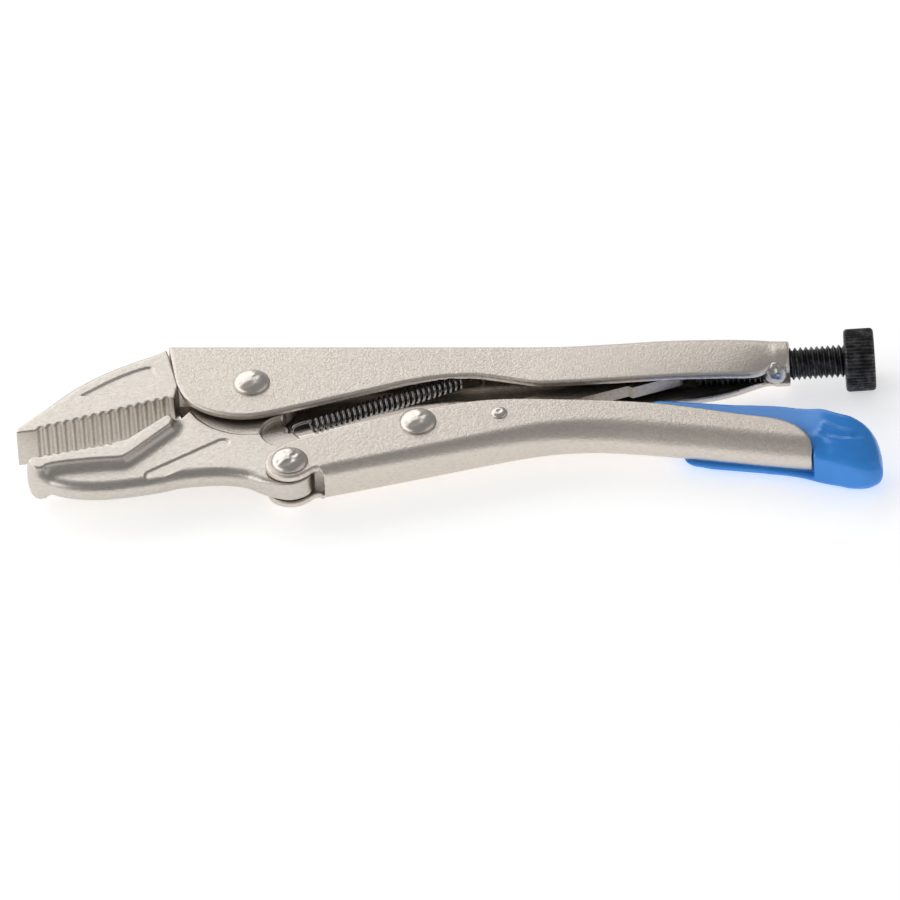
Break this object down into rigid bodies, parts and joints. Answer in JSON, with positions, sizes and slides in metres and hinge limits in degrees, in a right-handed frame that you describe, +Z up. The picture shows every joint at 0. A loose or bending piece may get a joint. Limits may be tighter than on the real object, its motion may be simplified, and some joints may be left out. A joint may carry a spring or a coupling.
{
  "type": "locking pliers",
  "caption": "Toggle-action locking pliers with serrated curved jaws, folded steel handles, a knurled adjusting screw and a blue dipped release lever.",
  "frame": {"origin": "bottom centre of the bounding box, lying flat on one side", "axes": "+X from the jaws towards the adjusting screw, +Y from the lower handle towards the upper handle, +Z up through the thickness"},
  "size_m": [0.2508, 0.0698, 0.0182],
  "materials": {
    "handle_steel": "nickel-plated sheet, satin, warm grey",
    "jaw_steel": "nickel-plated forging, satin, polished rim",
    "rivet_steel": "bright plated, hammered domes",
    "lever_steel": "plated pressing, satin",
    "spring_steel": "dark drawn wire",
    "screw_black": "black oxide, oiled, semi-gloss",
    "weld_metal": "weld bead, plated over",
    "grip_vinyl": "dipped vinyl, glossy blue"
  },
  "bodies": {
    "upper_handle": {"upper_handle": "handle_steel", "upper_jaw": "jaw_steel", "jaw_weld": "weld_metal", "handle_end_weld": "weld_metal", "spring_anchor": "rivet_steel", "jaw_pivot_rivet": "rivet_steel", "tension_spring": "spring_steel"},
    "lower_jaw": {"lower_jaw": "jaw_steel"},
    "lower_handle": {"lower_handle": "handle_steel", "handle_pivot_rivet": "rivet_steel", "link_rivet": "rivet_steel", "lever_rivet": "rivet_steel"},
    "toggle_link": {"toggle_link": "lever_steel"},
    "release_lever": {"release_lever": "lever_steel", "lever_grip": "grip_vinyl"},
    "adjusting_screw": {"adjusting_screw": "screw_black"},
    "screw_knob": {"screw_knob": "screw_black"}
  },
  "joints": [
    {"name": "lower_jaw_pivot", "type": "hinge", "parent": "upper_handle", "child": "lower_jaw", "pos_m": [-0.05893, 0.0082, 0.0091], "axis": [0, 0, 1], "range_deg": [0, 13.6], "deforming": ["tension_spring"]},
    {"name": "lower_handle_fold", "type": "hinge", "parent": "lower_jaw", "child": "lower_handle", "pos_m": [-0.04563, -0.0265, 0.0091], "axis": [0, 0, 1], "range_deg": [-52, 0]},
    {"name": "toggle_link_pivot", "type": "hinge", "parent": "lower_handle", "child": "toggle_link", "pos_m": [-0.00953, -0.0092, 0.0091], "axis": [0, 0, 1], "range_deg": [0, 56.8]},
    {"name": "release_lever_pivot", "type": "hinge", "parent": "lower_handle", "child": "release_lever", "pos_m": [0.01377, -0.0052, 0.0091], "axis": [0, 0, 1], "range_deg": [0, 5]},
    {"name": "screw_travel", "type": "slide", "parent": "upper_handle", "child": "adjusting_screw", "axis": [0.9953, 0.0971, 0], "range_m": [0, 0.008]},
    {"name": "knob_spin", "type": "hinge", "parent": "adjusting_screw", "child": "screw_knob", "pos_m": [0.09617, 0.0235, 0.0091], "axis": [0.9953, 0.0971, 0], "range_deg": [-1, 1815.2]}
  ],
  "couplings": [
    {"joint": "lower_jaw_pivot", "follows": "lower_handle_fold", "ratio": -0.26},
    {"joint": "toggle_link_pivot", "follows": "lower_handle_fold", "ratio": -1.09},
    {"joint": "knob_spin", "follows": "screw_travel", "rad_per_m": 3957.9}
  ]
}
